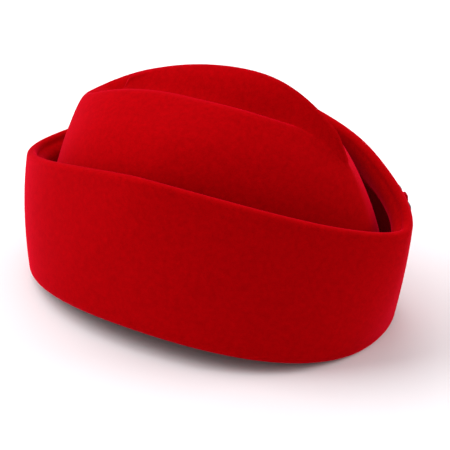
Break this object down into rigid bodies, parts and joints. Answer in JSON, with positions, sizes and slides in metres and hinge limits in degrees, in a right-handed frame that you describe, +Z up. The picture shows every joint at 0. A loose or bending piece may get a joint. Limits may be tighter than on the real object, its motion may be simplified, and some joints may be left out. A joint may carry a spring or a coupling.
{
  "type": "flight attendant cap",
  "caption": "Moulded felt cap with an arched crown folded along one side, a tall turned-up cuff with a turned-in edge, open at both ends, and a small ribbon bow.",
  "frame": {"origin": "middle of the cap's box, on the surface that it rests on", "axes": "+X towards the prow of the crown, -Y towards the folded side, +Z up"},
  "size_m": [0.2322, 0.1636, 0.1315],
  "materials": {
    "wool_felt": "matt red fulled wool felt",
    "ribbon": "black ribbed ribbon"
  },
  "bodies": {
    "root": {"felt_cap": "wool_felt", "bow_loop_front": "ribbon", "bow_loop_back": "ribbon", "bow_knot": "wool_felt"}
  },
  "joints": []
}
